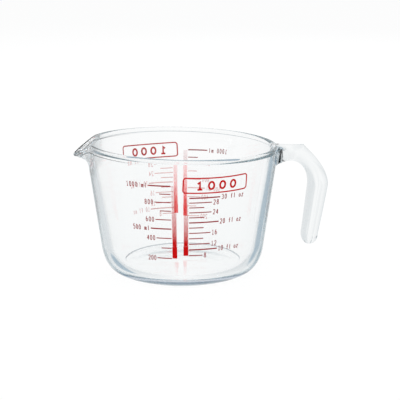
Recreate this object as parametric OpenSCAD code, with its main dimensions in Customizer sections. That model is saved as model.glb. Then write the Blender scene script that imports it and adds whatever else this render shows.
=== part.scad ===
// Pressed glass measuring jug with a pouring spout, an open hook handle and fired enamel scales.
// Millimetres. The origin is the middle of the standing face and +Z is up.
// The spout points to -X, the handle to +X, and the two printed sides face -Y and +Y.

/* [Bowl] */
// Height of the rim, half-way between the spout and the handle
rim_h = 107; // [98:0.5:122]
// Outer radius of the wall at that height
rim_r = 79; // [74:0.5:88]
// Rise of the rim from that height to the spout, and its fall to the handle
rim_rise = 2.1; // [0:0.1:3.5]
// Height at which the straight wall starts, above the rounded bottom corner
wall_foot_h = 21.6; // [18:0.2:26]
// Outer radius of the wall at that height
wall_foot_r = 66.9; // [62:0.1:70]
// Thickness of the wall at the rim's height
wall_t = 4.4; // [3.6:0.1:5]
// Thickness of the wall where it starts above the corner
wall_foot_t = 7; // [5:0.1:8]
// Thickness of the rounded lip along the rim
lip_t = 5.2; // [4.4:0.1:6]
// Depth of the faint crease inside the wall below the rim's height
crease_drop = 6.4; // [5:0.2:10]
// Outer radius of the flat ring that the jug stands on
base_r = 50; // [44:0.5:54]
// Width of that ring
base_ring_w = 5; // [4:0.5:10]
// Height of that ring
foot_h = 0.5; // [0.2:0.1:1]
// Height on the wall's line towards which the rounded bottom corner is drawn
corner_pull_h = 1.8; // [0:0.1:4]
// Height of the hollow under the base, at its middle
base_hollow = 1.4; // [1.2:0.1:4]
// Height of the inside floor
floor_h = 8.5; // [7:0.1:12]
// Width of the round corner between the floor and the inside wall
floor_corner_w = 9; // [6:0.5:20]
// Height of that corner
floor_corner_h = 16; // [10:0.5:24]

/* [Spout] */
// Width of the spout where it leaves the rim
spout_w = 32; // [26:0.5:40]
// Reach of the spout's tip past the rim
spout_reach = 9.8; // [7:0.2:14]
// Drop of the tip below the rim
spout_drop = 11; // [7:0.2:14]
// Depth below the rim at which the wall starts to swell into the spout
spout_root = 25; // [22:0.5:32]
// Thickness of the spout's lip
spout_lip_t = 2.6; // [2:0.1:3.4]
// Length of the shelf under the spout's lip
spout_shelf = 8.5; // [6:0.25:10]
// Upward slope of the lip at its tip, in degrees
spout_lip_a = 20; // [10:1:35]

/* [Handle] */
// Room for the fingers between the wall and the grip, where the grip stands furthest out
finger_gap = 28.6; // [24:0.2:36]
// Height of that place
grip_bulge_h = 72; // [66:0.5:78]
// Thickness of the grip there, from front to back
grip_t = 16.8; // [13:0.2:20]
// Distance by which the back of the grip leans in from there to its round end
grip_lean = 7.6; // [4:0.2:12]
// Thickness of the grip at its round end
grip_end_t = 13.8; // [10:0.2:16]
// Height of the lowest point of the grip
grip_end_h = 21.4; // [14:0.2:30]
// Length of the round end
grip_cap = 8.5; // [6:0.5:12]
// Width of the grip
grip_w = 21; // [17:0.5:25]
// Width of the grip at its round end
grip_end_w = 18; // [14:0.5:22]
// Length of the thumb rest, from the rim to its outer edge
thumb_run = 20.4; // [16:0.2:24]
// Depth of the thumb rest's outer edge below the rim beside it
thumb_drop = 0.3; // [0:0.1:3]
// Thickness of the arm, from the thumb rest to its underside
arm_t = 12.6; // [10:0.2:15]
// Width of the arm at the wall
arm_root_w = 29; // [24:0.5:34]
// Swell of the arm's underside where it meets the wall
arm_root_swell = 4; // [1:0.25:6]
// Distance from the wall to where the arm's underside turns down
arm_run = 11; // [8:0.25:14]

/* [Print] */
// Thickness of the fired enamel
ink_t = 0.14; // [0.1:0.01:0.3]
// Turn of both prints towards the spout, in degrees
print_turn = 1.5; // [0:0.1:4]
// Depth of the fullest line below the rim's height
top_line_drop = 20.4; // [18:0.2:26]
// Share of the fullest line's volume at the lowest line
lowest_share = 0.2; // [0.2:0.1:0.4]
// Width of each colour column
column_w = 3.9; // [3:0.1:5]
// Clear width between the two columns
column_gap = 5.1; // [4:0.1:7]
// Gap between a column and its lines
line_gap = 0.4; // [0.3:0.05:1]
// Thickness of a chief line
chief_line_t = 1; // [0.7:0.05:1.2]
// Thickness of the other lines
line_t = 0.75; // [0.5:0.05:1]
// Length of the chief metric lines
metric_chief_l = 16.5; // [14:0.25:20]
// Length of the numbered metric lines
metric_middle_l = 12.2; // [10:0.2:13.5]
// Length of the short metric lines
metric_short_l = 8.4; // [6:0.2:9.5]
// Length of the chief imperial lines
imperial_chief_l = 23.5; // [20:0.25:26]
// Length of the numbered imperial lines
imperial_middle_l = 17.2; // [14:0.2:19]
// Length of the short imperial lines
imperial_short_l = 11.4; // [9:0.2:13]
// Height of the numbers beside the lines
figure_h = 4.3; // [3.4:0.1:5]
// Width of one figure there
figure_w = 1.95; // [1.6:0.05:2.4]
// Clear space between two figures
figure_gap = 0.55; // [0.4:0.05:1]
// Thickness of a figure's strokes
stroke_t = 0.5; // [0.35:0.05:0.65]
// Gap between a line's end and its number
figure_clear = 1.1; // [0.8:0.1:3]
// Width of the capacity mark's frame
mark_w = 53; // [44:0.5:60]
// Height of the capacity mark's frame
mark_h = 13; // [10:0.25:15]
// Thickness of the frame's line
mark_line_t = 1; // [0.6:0.05:1.4]
// Radius of the frame's corners
mark_corner_r = 2.6; // [1.5:0.1:4]
// Gap between the uppermost imperial number and the frame above it
mark_clear = 1; // [0.6:0.1:3]
// Distance from the middle of the print to the left end of the frame
mark_start = 0.9; // [0.5:0.1:3]
// Height of the figures in the frame
mark_figure_h = 7.4; // [5:0.1:9]
// Width of one of those figures
mark_figure_w = 6.2; // [4:0.1:7]
// Clear space between two of them
mark_figure_gap = 2.4; // [1.5:0.1:4]
// Thickness of their strokes
mark_stroke_t = 1.5; // [0.9:0.05:2]

/* [Hidden] */

$fn = 96;
GLASS = [0.84, 0.91, 0.93, 0.5];
ENAMEL = [0.76, 0.08, 0.10];
// Overrun of every cut
cut_over = 2;

// Counts of facets: round the spout, round the rest, along a corner, along the swell and over the lip
spout_n = 22;
round_n = 78;
corner_n = 7;
swell_n = 6;
lip_n = 6;
// Counts of rings along the arm, its bend, the grip and the round end, and of points in a ring
arm_n = 5;
bend_n = 8;
grip_n = 6;
cap_n = 5;
ring_n = 24;
// Steps of the inside wall in the sum of its volume
fill_n = 40;
// Facets in a half circle of a figure, and in a whole turn of the print
figure_n = 7;
print_n = 720;

// Shapes of the curves: the bumps across the spout, the spread of its dip, and where curves bend
spout_fullness = 2.6;
spout_power = 1.2;
dip_fullness = 2;
dip_power = 1.55;
dip_spread_share = 1.14;
spout_bend_share = 0.7;
plain_bend_share = 1 / 3;
hollow_shares = [0.4, 0.75, 1];
section_power = 2.7;
belly_width_share = 0.3;
belly_height_share = 0.33;
bulge_pull_share = 0.42;
arm_pull_share = 0.62;
arm_mid_w_share = 0.5;

// Volume of an imperial fluid ounce as a share of a litre
ounce_share = 0.0284131;
millilitre_n = 1000;
metric_step_share = 0.1;
ounce_step = 2;
lowest_ounces = 8;
most_ounces = 30;
// Every second step of a scale has a number, and every fifth one is a chief line
number_every = 2;
chief_every = 5;

function mix(a, b, t) = a + (b - a) * t;
function dir(a) = [cos(a), sin(a)];
function bump(u, fullness, power) = abs(u) < 1 ? pow(1 - pow(abs(u), fullness), power) : 0;
function bend2(p, q, r, t) = mix(mix(p, q, t), mix(q, r, t), t);
function bend3(p, q, r, s, t) = mix(bend2(p, q, r, t), bend2(q, r, s, t), t);

// The straight wall, outside and inside, at a height
wall_slope = (rim_r - wall_foot_r) / (rim_h - wall_foot_h);
wall_lean = atan(wall_slope);
function wall_r(z) = wall_foot_r + wall_slope * (z - wall_foot_h);
function wall_depth(z) = mix(wall_foot_t, wall_t, (z - wall_foot_h) / (rim_h - wall_foot_h));
function inner_r(z) = wall_r(z) - wall_depth(z);
function wall_point(z) = [wall_r(z), z];
function inner_point(z) = [inner_r(z), z];

// The rim and the spout, at an angle from the spout's middle
spout_half_a = asin(spout_w / 2 / rim_r);
spout_tip_r = rim_r + spout_reach;
spout_root_h = rim_h - spout_root;
function spout_share(a) = bump(a / spout_half_a, spout_fullness, spout_power);
function dip_share(a) = bump(a / spout_half_a / dip_spread_share, dip_fullness, dip_power);
function plain_rim_h(a) = rim_h + rim_rise * cos(a);
function lip_h(a) = plain_rim_h(a) - spout_drop * dip_share(a);
function lip_r(a) = mix(wall_r(plain_rim_h(a)) - lip_t / 2, spout_tip_r, spout_share(a));
function lip_a(a) = mix(90 - wall_lean, spout_lip_a, spout_share(a));
function lip_half(a) = mix(lip_t, spout_lip_t, spout_share(a)) / 2;
function lip_mid(a) = [lip_r(a), lip_h(a)] - lip_half(a) * dir(lip_a(a));
function lip_point(a, turn) = lip_mid(a) + lip_half(a) * dir(lip_a(a) + turn);

// Where the inside wall ends in its crease: level on the bowl, and just behind the lip in the spout
crease_h = rim_h - crease_drop;
function plain_crease_h(a) = min(crease_h, lip_h(a) - lip_t);
function crease_point(a) = mix(
    inner_point(plain_crease_h(a)),
    lip_point(a, 90) - spout_lip_t * dir(spout_lip_a),
    spout_share(a)
);

// A wall's swell from its straight part to a point on the lip, as a curve with t from 0 to 1
function swell(a, start, tip, rise, t) = bend3(
    start,
    start + rise * mix(plain_bend_share, spout_bend_share, spout_share(a)),
    tip - mix(norm(tip - start) * plain_bend_share, spout_shelf, spout_share(a)) * dir(lip_a(a)),
    tip,
    t
);
function outer_swell(a, t) = swell(
    a, wall_point(spout_root_h), lip_point(a, -90),
    wall_point(lip_point(a, -90)[1]) - wall_point(spout_root_h), t
);
function inner_swell(a, t) = swell(
    a, inner_point(spout_root_h), crease_point(a),
    inner_point(crease_point(a)[1]) - inner_point(spout_root_h), t
);

// The bottom corners, outside and inside
corner_top_h = floor_h + floor_corner_h;
function outer_corner(t) = bend2(
    [base_r, foot_h], wall_point(corner_pull_h), wall_point(wall_foot_h), t
);
function inner_corner(t) = bend2(
    [inner_r(floor_h) - floor_corner_w, floor_h], inner_point(floor_h), inner_point(corner_top_h), t
);

// The whole section of the glass at one angle, from the hollow under the base to the inside floor.
// The foot overruns the standing face, which is then cut flat.
foot_in_r = base_r - base_ring_w;
function section(a) = concat(
    [for (s = hollow_shares) [foot_in_r * s, mix(base_hollow, foot_h, s * s)]],
    [[foot_in_r, -cut_over], [base_r, -cut_over]],
    [for (i = [0:corner_n]) outer_corner(i / corner_n)],
    [for (i = [0:swell_n]) outer_swell(a, i / swell_n)],
    [for (i = [1:lip_n]) lip_point(a, 180 * i / lip_n - 90)],
    [for (i = [swell_n:-1:0]) inner_swell(a, i / swell_n)],
    [for (i = [corner_n:-1:0]) inner_corner(i / corner_n)]
);

// Angles of the sections: close together across the spout and its shoulders, wider round the bowl
spout_zone_a = spout_half_a * dip_spread_share;
angles = concat(
    [for (i = [0:spout_n - 1]) mix(-spout_zone_a, spout_zone_a, i / spout_n)],
    [for (i = [0:round_n - 1]) mix(spout_zone_a, 360 - spout_zone_a, i / round_n)]
);

// A closed skin over rings of points, with a pole at each end
module skin(rings, first_pole, last_pole) {
    n = len(rings);
    m = len(rings[0]);
    points = concat([first_pole], [for (ring = rings) each ring], [last_pole]);
    side = [for (i = [0:n - 2], j = [0:m - 1])
        let (k = (j + 1) % m, a = 1 + i * m + j, b = 1 + i * m + k, c = a + m, d = b + m)
        each [[a, c, b], [b, c, d]]];
    first = [for (j = [0:m - 1]) [0, 1 + j, 1 + (j + 1) % m]];
    last = [for (j = [0:m - 1])
        [1 + n * m, 1 + (n - 1) * m + (j + 1) % m, 1 + (n - 1) * m + j]];
    polyhedron(points, concat(first, side, last));
}

module jug_body() {
    sections = [for (a = angles) section(a)];
    rings = [for (i = [0:len(sections[0]) - 1])
        [for (j = [0:len(angles) - 1])
            let (p = sections[j][i], a = angles[j]) [-p[0] * cos(a), -p[0] * sin(a), p[1]]]];
    color(GLASS) difference() {
        skin(rings, [0, 0, base_hollow], [0, 0, floor_h]);
        translate([0, 0, -2 * cut_over]) cylinder(h = 2 * cut_over, r = base_r + cut_over);
    }
}

// The handle's back and front outlines, as points over its length
thumb_h = plain_rim_h(180) - thumb_drop;
arm_under_h = thumb_h - arm_t;
root_r = wall_r(thumb_h) - cut_over - arm_root_swell;
turn_r = wall_r(arm_under_h) + arm_run;
grip_front_r = wall_r(grip_bulge_h) + finger_gap;
grip_reach = grip_front_r + grip_t;
grip_end_reach = grip_reach - grip_lean;
cap_h = grip_end_h + grip_cap;
thumb_point = [rim_r + thumb_run, thumb_h];
turn_point = [turn_r, arm_under_h];
bulge_back = [grip_reach, grip_bulge_h];
bulge_front = [grip_front_r, grip_bulge_h];
end_back = [grip_end_reach, cap_h];
end_front = [grip_end_reach - grip_end_t, cap_h];
back_pull = (thumb_h - grip_bulge_h) * bulge_pull_share;
front_pull = (arm_under_h - grip_bulge_h) * arm_pull_share;

function arm_back(t) = mix([root_r, thumb_h + thumb_drop / 2], thumb_point, t);
function arm_front(t) = mix([root_r, arm_under_h], turn_point, t)
    - [0, arm_root_swell * pow(1 - t, 2) * (turn_r - root_r) / arm_run];
function bend_back(t) = bend3(
    thumb_point, thumb_point + back_pull / 2 * [1, -1], bulge_back + [0, back_pull], bulge_back, t
);
function bend_front(t) = bend3(
    turn_point, [mix(turn_r, grip_front_r, arm_pull_share), arm_under_h],
    bulge_front + [0, front_pull], bulge_front, t
);
function grip_line(top, end, t) = bend2(
    top,
    [mix(top[0], end[0], belly_width_share), mix(top[1], end[1], belly_height_share)],
    end,
    t
);

// Stations along the handle: back point, front point and width
arm_w = mix(arm_root_w, grip_w, arm_mid_w_share);
stations = concat(
    [for (i = [0:arm_n]) let (t = i / arm_n)
        [arm_back(t), arm_front(t), bend2(arm_root_w, arm_w, grip_w, t)]],
    [for (i = [1:bend_n]) let (t = i / bend_n) [bend_back(t), bend_front(t), grip_w]],
    [for (i = [1:grip_n]) let (t = i / grip_n)
        [grip_line(bulge_back, end_back, t), grip_line(bulge_front, end_front, t),
            mix(grip_w, grip_end_w, t)]],
    [for (i = [1:cap_n - 1]) let (a = 90 * i / cap_n, mid = (end_back + end_front) / 2)
        [mix(mid, end_back, cos(a)) - [0, grip_cap * sin(a)],
            mix(mid, end_front, cos(a)) - [0, grip_cap * sin(a)], grip_end_w * cos(a)]]
);
function squared(v) = sign(v) * pow(abs(v), 2 / section_power);
function station_ring(s) = [for (i = [0:ring_n - 1])
    let (a = 360 * i / ring_n, p = (s[0] + s[1]) / 2 + (s[0] - s[1]) / 2 * squared(cos(a)))
    [p[0], -s[2] / 2 * squared(sin(a)), p[1]]];
function station_mid(s) = let (p = (s[0] + s[1]) / 2) [p[0], 0, p[1]];

// The solid cone inside the outer face of the wall, which the handle seats on
module wall_cone() {
    low = wall_foot_h;
    high = rim_h + rim_rise + cut_over;
    rotate_extrude() polygon([[0, low], wall_point(low), wall_point(high), [0, high]]);
}

module handle() {
    end_mid = (end_back + end_front) / 2;
    color(GLASS) difference() {
        skin(
            [for (s = stations) station_ring(s)],
            station_mid(stations[0]),
            [end_mid[0], 0, grip_end_h]
        );
        wall_cone();
    }
}

// Volume inside the bowl up to each of many heights, from slices
inside = concat(
    [for (i = [0:corner_n]) inner_corner(i / corner_n)],
    [for (i = [1:fill_n]) inner_point(mix(corner_top_h, crease_h, i / fill_n))]
);
function slice(p, q) = PI * (q[1] - p[1]) * (p[0] * p[0] + p[0] * q[0] + q[0] * q[0]) / 3;
function filled(i) = i == 0 ? 0 : filled(i - 1) + slice(inside[i - 1], inside[i]);
volumes = [for (i = [0:len(inside) - 1]) filled(i)];
height_by_volume = [for (i = [0:len(inside) - 1]) [volumes[i], inside[i][1]]];
volume_by_height = [for (i = [0:len(inside) - 1]) [inside[i][1], volumes[i]]];
full_volume = lookup(rim_h - top_line_drop, volume_by_height);
function line_h(volume_share) = lookup(volume_share * full_volume, height_by_volume);

// Each scale is a list of lines: the number, its share of the full volume, and its rank.
// Rank 2 is a chief line, 1 a numbered line and 0 a short one.
function rank(n, step) = n % (step * chief_every) == 0 ? 2 : n % (step * number_every) == 0 ? 1 : 0;
metric_scale = [for (s = [lowest_share:metric_step_share:1 + metric_step_share / 2])
    let (n = round(s * millilitre_n)) [n, s, rank(n, millilitre_n * metric_step_share)]];
imperial_scale = [for (n = [lowest_ounces:ounce_step:most_ounces])
    [n, n * ounce_share, n == lowest_ounces ? 0 : rank(n, ounce_step)]];
metric_lengths = [metric_short_l, metric_middle_l, metric_chief_l];
imperial_lengths = [imperial_short_l, imperial_middle_l, imperial_chief_l];
thicknesses = [line_t, line_t, chief_line_t];

// Places along the wall are arc lengths to the right of the print's middle, at the height of its middle
print_r = wall_r(mix(line_h(lowest_share), rim_h - top_line_drop, 1 / 2));
function arc_a(u) = u / print_r * 180 / PI;
column_in = column_gap / 2;
column_out = column_in + column_w;
line_start = column_out + line_gap;

// A patch of enamel on the wall between two places and two heights
module patch(u1, u2, z1, z2) {
    out = [ink_t, 0];
    rotate([0, 0, arc_a(u1)]) rotate_extrude(angle = arc_a(u2 - u1), $fn = print_n)
        polygon([wall_point(z1), wall_point(z1) + out, wall_point(z2) + out, wall_point(z2)]);
}

// Stands a flat shape on the wall, facing outwards and leaning with it
module on_wall(u, z) {
    rotate([0, 0, arc_a(u)]) translate([wall_r(z), 0, z])
        rotate([0, wall_lean, 0]) rotate([90, 0, 90]) children();
}

module column(side, scale) {
    edges = side < 0 ? [-column_out, -column_in] : [column_in, column_out];
    patch(edges[0], edges[1], line_h(scale[0][1]), line_h(scale[len(scale) - 1][1]));
}

module lines(side, scale, lengths) {
    for (mark = scale) {
        near = side * line_start;
        far = side * (line_start + lengths[mark[2]]);
        z = line_h(mark[1]);
        t = thicknesses[mark[2]];
        patch(min(near, far), max(near, far), z - t / 2, z + t / 2);
    }
}

// Strokes of the figures and unit letters, as shares of a figure's width and height
function oval(mid, size, a1, a2) = [for (i = [0:figure_n * 2])
    let (a = mix(a1, a2, i / figure_n / 2)) [mid[0] + size[0] * cos(a), mid[1] + size[1] * sin(a)]];
function stroke_shares(c) =
    c == "0" ? [oval([0.5, 0.5], [0.46, 0.5], 0, 360)] :
    c == "1" ? [[[0.12, 0.76], [0.5, 1], [0.5, 0]], [[0.1, 0], [0.9, 0]]] :
    c == "2" ? [concat(oval([0.5, 0.72], [0.44, 0.28], 165, -30), [[0.06, 0], [0.98, 0]])] :
    c == "3" ? [oval([0.46, 0.75], [0.42, 0.25], 150, -90), oval([0.46, 0.25], [0.48, 0.25], 90, -150)] :
    c == "4" ? [[[0.72, 0], [0.72, 1]], [[0.72, 1], [0.02, 0.3], [1, 0.3]]] :
    c == "5" ? [[[0.92, 1], [0.2, 1], [0.14, 0.56]], oval([0.46, 0.32], [0.48, 0.32], 135, -150)] :
    c == "6" ? [oval([0.5, 0.3], [0.46, 0.3], 0, 360), oval([0.66, 0.34], [0.62, 0.66], 90, 180)] :
    c == "8" ? [oval([0.5, 0.76], [0.4, 0.24], 0, 360), oval([0.5, 0.27], [0.47, 0.27], 0, 360)] :
    c == "m" ? [[[0, 0], [0, 0.62], [1, 0.62], [1, 0]], [[0.5, 0.62], [0.5, 0]]] :
    c == "l" ? [[[0.5, 0], [0.5, 1]]] :
    c == "f" ? [[[0.85, 1], [0.5, 0.92], [0.5, 0]], [[0.1, 0.6], [0.85, 0.6]]] :
    c == "o" ? [oval([0.5, 0.31], [0.46, 0.31], 0, 360)] :
    c == "z" ? [[[0.06, 0.62], [0.92, 0.62], [0.08, 0], [0.96, 0]]] : [];

// One stroke as a flat band along its points: a ring where its ends meet
sharpest_turn_share = 0.5;
function unit(v) = v / norm(v);
function left_of(v) = [-v[1], v[0]];
function is_ring(path) = norm(path[0] - path[len(path) - 1]) < norm(path[1] - path[0]) / 2;
function side_step(path, i) =
    let (
        n = len(path),
        ring = is_ring(path),
        before = i > 0 ? path[i] - path[i - 1] : ring ? path[n - 1] - path[n - 2] : path[1] - path[0],
        after = i < n - 1 ? path[i + 1] - path[i] : ring ? path[1] - path[0] : before,
        p = left_of(unit(before)),
        q = left_of(unit(after))
    )
    (p + q) / max(1 + p * q, sharpest_turn_share);
module stroke(path, t) {
    n = len(path);
    last = is_ring(path) ? n - 2 : n - 1;
    left = [for (i = [0:last]) path[i] + side_step(path, i) * t / 2];
    right = [for (i = [0:last]) path[i] - side_step(path, i) * t / 2];
    count = last + 1;
    if (is_ring(path))
        polygon(concat(left, right), [[for (i = [0:last]) i], [for (i = [0:last]) count + i]]);
    else
        polygon(concat(left, [for (i = [last:-1:0]) right[i]]));
}

// A row of figures that starts or ends at a place on the wall, centred on a height
module figures(words, side, start, z, size, gap, t) {
    n = len(words);
    for (i = [0:n - 1], shares = stroke_shares(words[i])) {
        column_i = side > 0 ? i : n - 1 - i;
        on_wall(side * (start + size[0] / 2 + column_i * (size[0] + gap)), z)
            linear_extrude(ink_t)
            stroke([for (s = shares)
                [(s[0] - 1 / 2) * (size[0] - t), (s[1] - 1 / 2) * (size[1] - t)]], t);
    }
}

module numbers(side, scale, lengths, unit_word) {
    for (mark = scale)
        if (mark[2] > 0 || mark == scale[0]) {
            words = mark[2] == 2 ? str(mark[0], unit_word) : str(mark[0]);
            figures(
                words, side, line_start + lengths[mark[2]] + figure_clear, line_h(mark[1]),
                [figure_w, figure_h], figure_gap, stroke_t
            );
        }
}

// The capacity mark: a frame with round corners, and the full volume's number inside it
mark_foot_h = line_h(most_ounces * ounce_share) + figure_h / 2 + mark_clear;
mark_mid_h = mark_foot_h + mark_h / 2;
mark_mid = mark_start + mark_w / 2;
mark_depth = print_r - sqrt(print_r * print_r - mark_w * mark_w / 4) + cut_over;
module round_box(w, h, r) {
    polygon([for (c = [[1, 1, 0], [-1, 1, 90], [-1, -1, 180], [1, -1, 270]], i = [0:figure_n])
        [c[0] * (w / 2 - r), c[1] * (h / 2 - r)] + r * dir(c[2] + 90 * i / figure_n)]);
}

module mark_frame() {
    half_u = mark_w / 2 + cut_over;
    half_z = mark_h / 2 + cut_over;
    intersection() {
        patch(mark_mid - half_u, mark_mid + half_u, mark_mid_h - half_z, mark_mid_h + half_z);
        on_wall(mark_mid, mark_mid_h) translate([0, 0, -mark_depth])
            linear_extrude(mark_depth + cut_over) difference() {
                round_box(mark_w, mark_h, mark_corner_r);
                round_box(mark_w - 2 * mark_line_t, mark_h - 2 * mark_line_t, mark_corner_r - mark_line_t);
            }
    }
}

module mark_number() {
    words = str(millilitre_n);
    row_w = len(words) * (mark_figure_w + mark_figure_gap) - mark_figure_gap;
    figures(
        words, 1, mark_mid - row_w / 2, mark_mid_h,
        [mark_figure_w, mark_figure_h], mark_figure_gap, mark_stroke_t
    );
}

// The pieces of one print
module metric_column() { column(-1, metric_scale); }
module metric_lines() { lines(-1, metric_scale, metric_lengths); }
module metric_numbers() { numbers(-1, metric_scale, metric_lengths, " ml"); }
module imperial_column() { column(1, imperial_scale); }
module imperial_lines() { lines(1, imperial_scale, imperial_lengths); }
module imperial_numbers() { numbers(1, imperial_scale, imperial_lengths, " fl oz"); }

// The two printed sides
module on_front() {
    rotate([0, 0, -90 - print_turn]) children();
}
module on_back() {
    rotate([0, 0, 90 + print_turn]) children();
}

module front_metric_column() { color(ENAMEL) on_front() metric_column(); }
module front_metric_lines() { color(ENAMEL) on_front() metric_lines(); }
module front_metric_numbers() { color(ENAMEL) on_front() metric_numbers(); }
module front_imperial_column() { color(ENAMEL) on_front() imperial_column(); }
module front_imperial_lines() { color(ENAMEL) on_front() imperial_lines(); }
module front_imperial_numbers() { color(ENAMEL) on_front() imperial_numbers(); }
module front_mark_frame() { color(ENAMEL) on_front() mark_frame(); }
module front_mark_number() { color(ENAMEL) on_front() mark_number(); }
module back_metric_column() { color(ENAMEL) on_back() metric_column(); }
module back_metric_lines() { color(ENAMEL) on_back() metric_lines(); }
module back_metric_numbers() { color(ENAMEL) on_back() metric_numbers(); }
module back_imperial_column() { color(ENAMEL) on_back() imperial_column(); }
module back_imperial_lines() { color(ENAMEL) on_back() imperial_lines(); }
module back_imperial_numbers() { color(ENAMEL) on_back() imperial_numbers(); }
module back_mark_frame() { color(ENAMEL) on_back() mark_frame(); }
module back_mark_number() { color(ENAMEL) on_back() mark_number(); }

jug_body();
handle();
front_metric_column();
front_metric_lines();
front_metric_numbers();
front_imperial_column();
front_imperial_lines();
front_imperial_numbers();
front_mark_frame();
front_mark_number();
back_metric_column();
back_metric_lines();
back_metric_numbers();
back_imperial_column();
back_imperial_lines();
back_imperial_numbers();
back_mark_frame();
back_mark_number();
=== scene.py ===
"""The looks of a pressed glass measuring jug: clear glass, red enamel, a white floor and soft light."""

import math

import bpy
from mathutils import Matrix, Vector


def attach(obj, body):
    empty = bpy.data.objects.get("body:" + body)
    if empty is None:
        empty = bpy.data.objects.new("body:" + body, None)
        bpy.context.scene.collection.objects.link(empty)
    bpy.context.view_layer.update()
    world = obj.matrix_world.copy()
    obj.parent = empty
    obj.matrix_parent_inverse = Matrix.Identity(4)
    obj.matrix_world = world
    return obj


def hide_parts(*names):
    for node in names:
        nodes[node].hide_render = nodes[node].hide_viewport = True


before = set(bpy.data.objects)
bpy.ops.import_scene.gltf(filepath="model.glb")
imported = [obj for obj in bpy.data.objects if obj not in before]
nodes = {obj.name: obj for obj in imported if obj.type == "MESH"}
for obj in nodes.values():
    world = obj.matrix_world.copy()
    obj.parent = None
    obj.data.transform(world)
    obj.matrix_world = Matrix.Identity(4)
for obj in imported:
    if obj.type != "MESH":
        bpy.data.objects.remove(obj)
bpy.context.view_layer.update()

MM = 0.001

# Sizes of the glass in millimetres, as in the solids but for the crease and the spout's root and rise
BOWL_MM = {
    "rim_h": 107, "rim_r": 79, "rim_rise": 2.1,
    "wall_foot_h": 21.6, "wall_foot_r": 66.9, "wall_t": 4.4, "wall_foot_t": 7,
    "lip_t": 5.2, "crease_drop": 3.8,
    "base_r": 50, "base_ring_w": 5, "foot_h": 0.5, "base_hollow": 1.4, "corner_pull_h": 1.8,
    "floor_h": 8.5, "floor_corner_w": 9, "floor_corner_h": 16,
    "spout_w": 32, "spout_reach": 9.8, "spout_drop": 11, "spout_root": 19,
    "spout_lip_t": 2.6, "spout_shelf": 8.5, "spout_rise": 6,
}
HANDLE_MM = {
    "finger_gap": 28.6, "grip_bulge_h": 72, "grip_t": 16.8, "grip_lean": 7.6,
    "grip_end_t": 13.8, "grip_end_h": 21.4, "grip_cap": 8.5, "grip_w": 21, "grip_end_w": 18,
    "thumb_run": 20.4, "thumb_drop": 0.3, "arm_t": 12.6,
    "arm_root_w": 29, "arm_root_swell": 4, "arm_run": 11,
}
# Depth of the handle's hidden end in the wall, and how far behind its swell the arm starts
ROOT_DEPTH_MM, ARM_START_MM = 1.9, 2
# The room between the wall and the enamel, and how much the bowl is drawn in for it
ENAMEL_ROOM_MM = 0.02
DRAWN_IN = 1 - ENAMEL_ROOM_MM / BOWL_MM["wall_foot_r"]

# Shapes of the glass's curves. The spout and its dip spread wider and softer than in the solids
SPOUT_LIP_A = math.radians(20)
SPOUT_FULLNESS, SPOUT_POWER = 2, 2
DIP_FULLNESS, DIP_POWER, DIP_SPREAD = 2, 2.2, 1.9
SPOUT_BEND, PLAIN_BEND = 0.7, 1 / 3
SECTION_POWER = 2.7
BELLY_WIDTH, BELLY_HEIGHT = 0.3, 0.33
BULGE_PULL, ARM_PULL, ARM_MID_W = 0.42, 0.62, 0.5

# Fine steps left by the mould: under the rim's bead and round the inside floor
BEAD_STEP_MM, FLOOR_STEP_MM = 0.7, 1.0
# Radius of the fillet between the handle and the wall
ROOT_FILLET_MM = 4
# Depth of the grip's soft flutes, and the half turns of their wave between its middle and its edge
FLUTE_MM, FLUTES = 0.25, 3

# Edges that turn more than this stay crisp
CREASE_A = math.radians(35)

# Counts of facets: across the spout, round the rest of the bowl, and round the handle
SPOUT_N, ROUND_N, HANDLE_N = 80, 240, 96
# Points nearer than this become one
MERGE_MM = 0.002

WHITE = (1, 1, 1, 1)


class Field:
    """A number that nodes work out at each point of a mesh, or for each ray of light."""

    def __init__(self, socket):
        self.socket = socket

    def __add__(self, other):
        return work("ADD", self, other)

    def __radd__(self, other):
        return work("ADD", other, self)

    def __sub__(self, other):
        return work("SUBTRACT", self, other)

    def __rsub__(self, other):
        return work("SUBTRACT", other, self)

    def __mul__(self, other):
        return work("MULTIPLY", self, other)

    def __rmul__(self, other):
        return work("MULTIPLY", other, self)

    def __truediv__(self, other):
        return work("DIVIDE", self, other)

    def __rtruediv__(self, other):
        return work("DIVIDE", other, self)

    def __pow__(self, other):
        return work("POWER", self, other)


def work(operation, *values):
    """A Math node on fields and plain numbers, as a new field."""
    tree = next(v.socket.id_data for v in values if isinstance(v, Field))
    node = tree.nodes.new("ShaderNodeMath")
    node.operation = operation
    for socket, value in zip(node.inputs, values):
        if isinstance(value, Field):
            tree.links.new(value.socket, socket)
        else:
            socket.default_value = value
    return Field(node.outputs[0])


def clamped(value):
    """A value kept between 0 and 1."""
    return work("MINIMUM", work("MAXIMUM", value, 0), 1)


def fade_in(value, start_mm, length_mm):
    """A share that grows from 0 at a start to 1 over a length, both in millimetres."""
    return clamped((value - start_mm * MM) / (length_mm * MM))


def near(value, place, room):
    """1 where a value is less than the room away from a place, and 0 elsewhere."""
    return work("LESS_THAN", work("ABSOLUTE", value - place), room)


def largest(*values):
    """The largest of several fields."""
    most = values[0]
    for value in values[1:]:
        most = work("MAXIMUM", most, value)
    return most


def cosine(angle):
    return work("COSINE", angle)


def sine(angle):
    return work("SINE", angle)


def mix(p, q, t):
    """The value or point a share t of the way from p to q."""
    if isinstance(p, tuple):
        return tuple(mix(a, b, t) for a, b in zip(p, q))
    return p + (q - p) * t


def shift(p, q, scale=1):
    """Point p moved by scale times q."""
    return tuple(a + b * scale for a, b in zip(p, q))


def toward(angle):
    """The unit step at an angle."""
    return cosine(angle), sine(angle)


def bend2(p, q, r, t):
    """The point a share t along a bend from p to r that leans to q."""
    return mix(mix(p, q, t), mix(q, r, t), t)


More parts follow.
